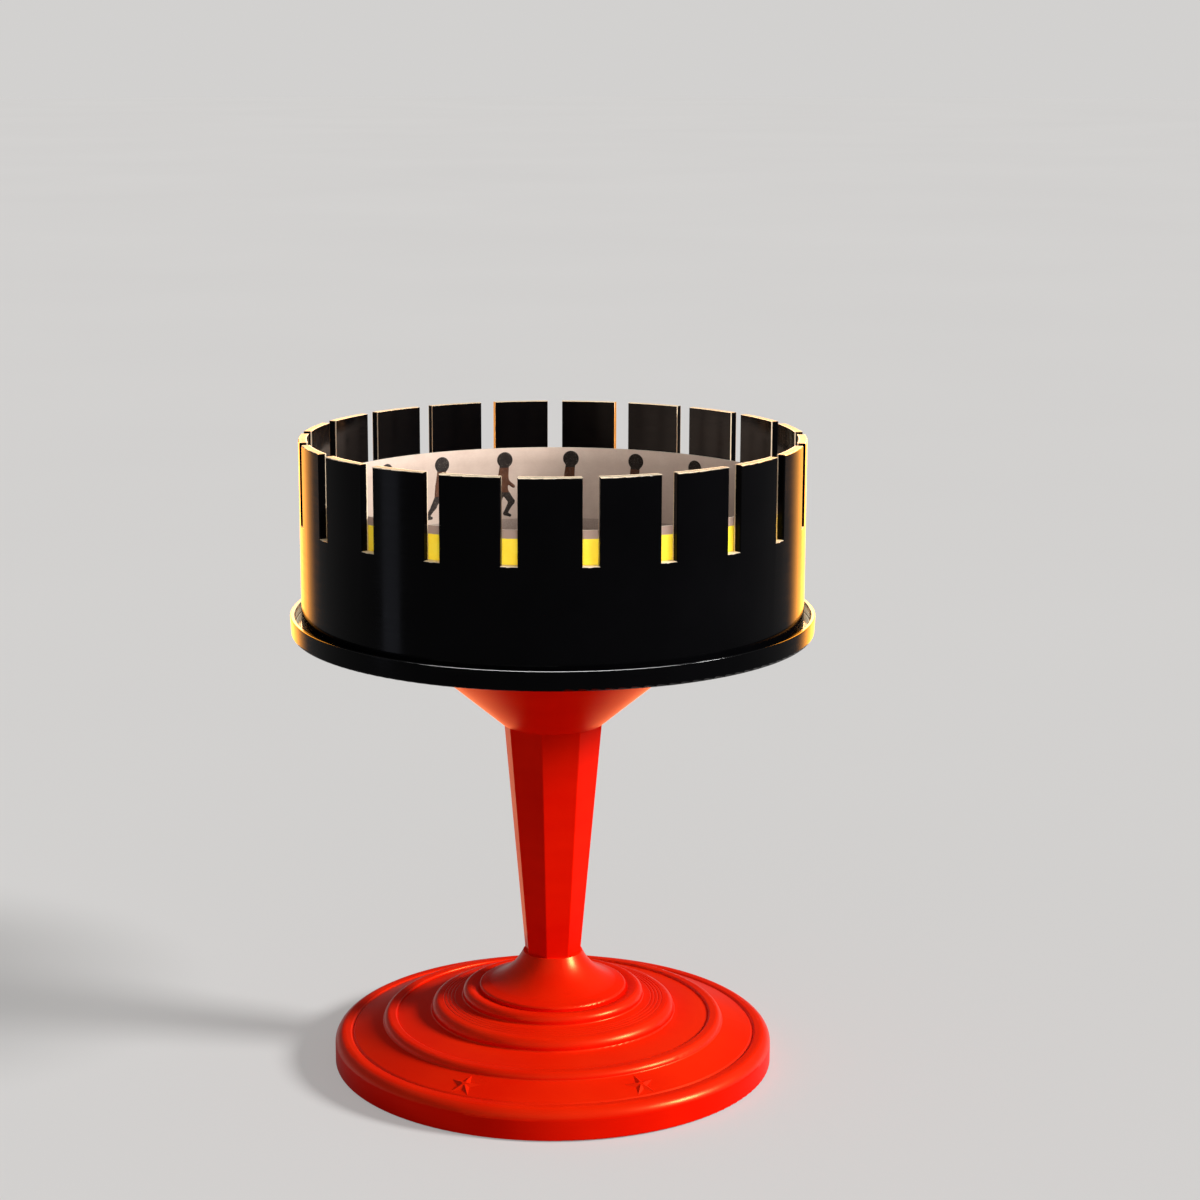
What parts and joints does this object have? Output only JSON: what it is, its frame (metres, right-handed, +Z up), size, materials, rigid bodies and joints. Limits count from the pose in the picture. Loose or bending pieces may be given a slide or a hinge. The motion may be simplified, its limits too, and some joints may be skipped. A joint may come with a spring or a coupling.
{
  "type": "zoetrope",
  "caption": "Zoetrope: black slotted picture drum in a lipped turntable, spinning on a red pedestal with a flared head, tapered eight-sided column and ringed round base.",
  "frame": {"origin": "centre of the base on the table that the feet stand on", "axes": "+Z up along the spindle, -Y to the front, where the middle of the two raised stars is"},
  "size_m": [0.1882, 0.1882, 0.2333],
  "materials": {
    "stand_red": "satin orange-red moulded plastic",
    "drum_black": "polished black moulded plastic",
    "steel": "zinc-plated steel",
    "nylon": "natural nylon",
    "brass": "turned brass",
    "rubber": "matt black rubber",
    "card": "matt printed card, yellow outside"
  },
  "bodies": {
    "stand": {"base": "stand_red", "rubber_feet": "rubber", "column": "stand_red", "stand_head": "stand_red", "central_rod": "steel", "base_washer": "steel", "base_lock_washer": "steel", "base_nut": "steel", "head_washer": "steel", "head_nut": "steel", "thrust_washer": "nylon", "top_washer": "nylon", "jam_nut": "steel", "cap_nut": "steel"},
    "drum": {"turntable": "drum_black", "bearing_bush": "brass", "bush_screws": "steel", "slotted_drum": "drum_black", "drum_screws": "steel"},
    "strip": {"picture_strip": "card"}
  },
  "joints": [
    {"name": "drum_spin", "type": "hinge", "parent": "stand", "child": "drum", "pos_m": [0, 0, 0.163], "axis": [0, 0, 1], "continuous": true},
    {"name": "strip_lift", "type": "slide", "parent": "drum", "child": "strip", "axis": [0, 0, 1], "range_m": [0, 0.07]}
  ]
}
